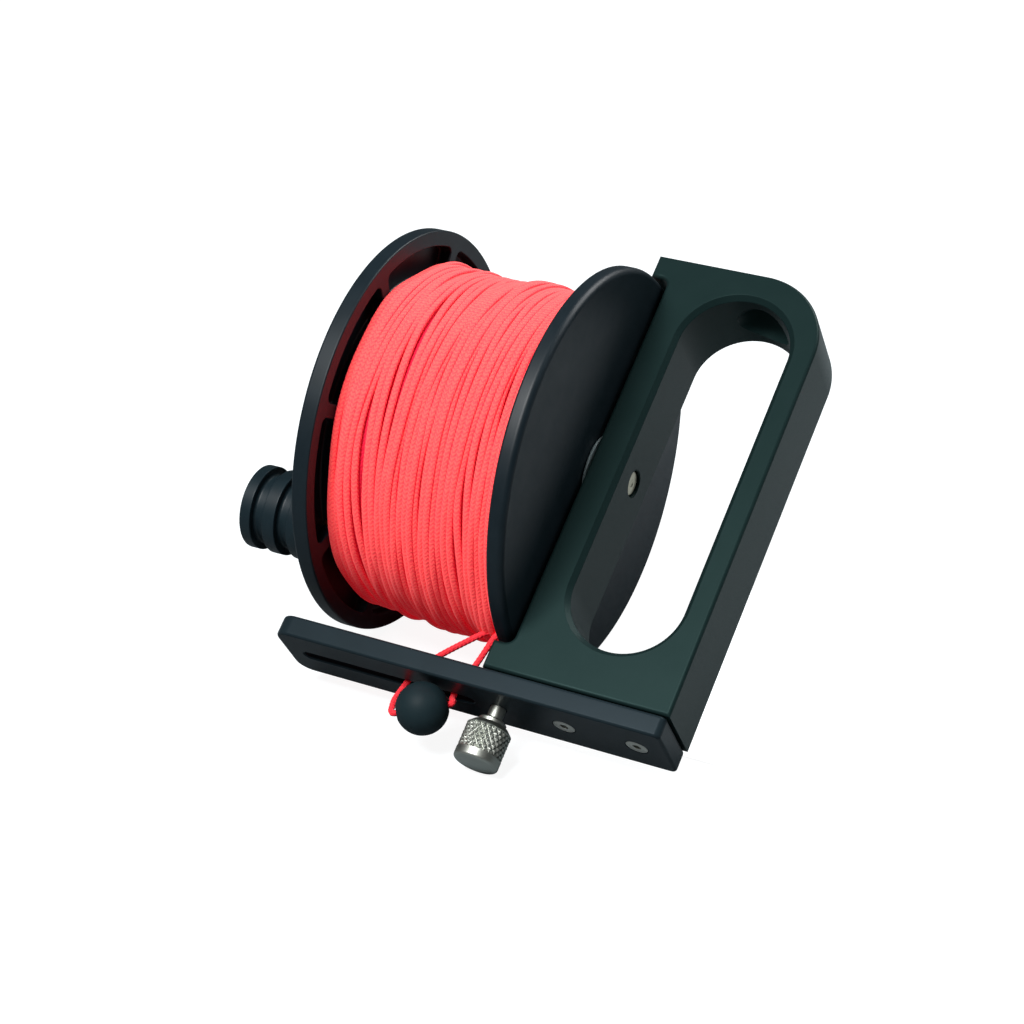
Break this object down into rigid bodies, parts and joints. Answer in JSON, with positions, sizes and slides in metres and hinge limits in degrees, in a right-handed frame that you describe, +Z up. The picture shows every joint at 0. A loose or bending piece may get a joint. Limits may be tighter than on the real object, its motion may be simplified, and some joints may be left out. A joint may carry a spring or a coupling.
{
  "type": "dive reel",
  "caption": "Side-mounted line spool on a slab handle with a finger opening, a slotted guide arm, a thumbscrew lock and a grooved winding knob.",
  "frame": {"origin": "middle of the box's underside, on the surface that both flange rims and the thumbscrew rest on", "axes": "+X along the axle towards the grip, +Z up, +Y away from the guide arm"},
  "size_m": [0.143, 0.1439, 0.1234],
  "materials": {
    "anodised": "matt hard-anodised",
    "acetal": "turned, matt",
    "stainless": "turned",
    "bearing": "turned",
    "brass": "turned",
    "nylon": "matt",
    "line": "braided",
    "rubber": "matt"
  },
  "bodies": {
    "frame": {"handle_frame": "anodised", "guide_arm": "anodised", "arm_screw_1": "stainless", "arm_screw_2": "stainless", "axle": "stainless", "axle_nut": "stainless", "outer_washer": "stainless", "thrust_washer": "bearing", "line_loop": "line", "line_ball": "rubber"},
    "spool": {"spool_body": "acetal", "far_flange": "acetal", "flange_screw_1": "stainless", "flange_screw_2": "stainless", "flange_screw_3": "stainless", "flange_screw_4": "stainless", "near_bush": "bearing", "far_bush": "bearing", "line_core": "line", "line_turns": "line", "knob_insert": "brass", "knob_washer": "bearing", "knob_screw": "stainless"},
    "knob": {"winding_knob": "acetal"},
    "lock": {"lock_screw": "stainless", "lock_pad": "nylon"}
  },
  "joints": [
    {"name": "spool_spin", "type": "hinge", "parent": "frame", "child": "spool", "pos_m": [0.01385, 0.00837, 0.0617], "axis": [1, 0, 0], "continuous": true},
    {"name": "knob_spin", "type": "hinge", "parent": "spool", "child": "knob", "pos_m": [0.01385, -0.03489, 0.0493], "axis": [1, 0, 0], "continuous": true},
    {"name": "lock_slide", "type": "slide", "parent": "frame", "child": "lock", "axis": [0, -0.8039, -0.5948], "range_m": [0, 0.004]}
  ]
}
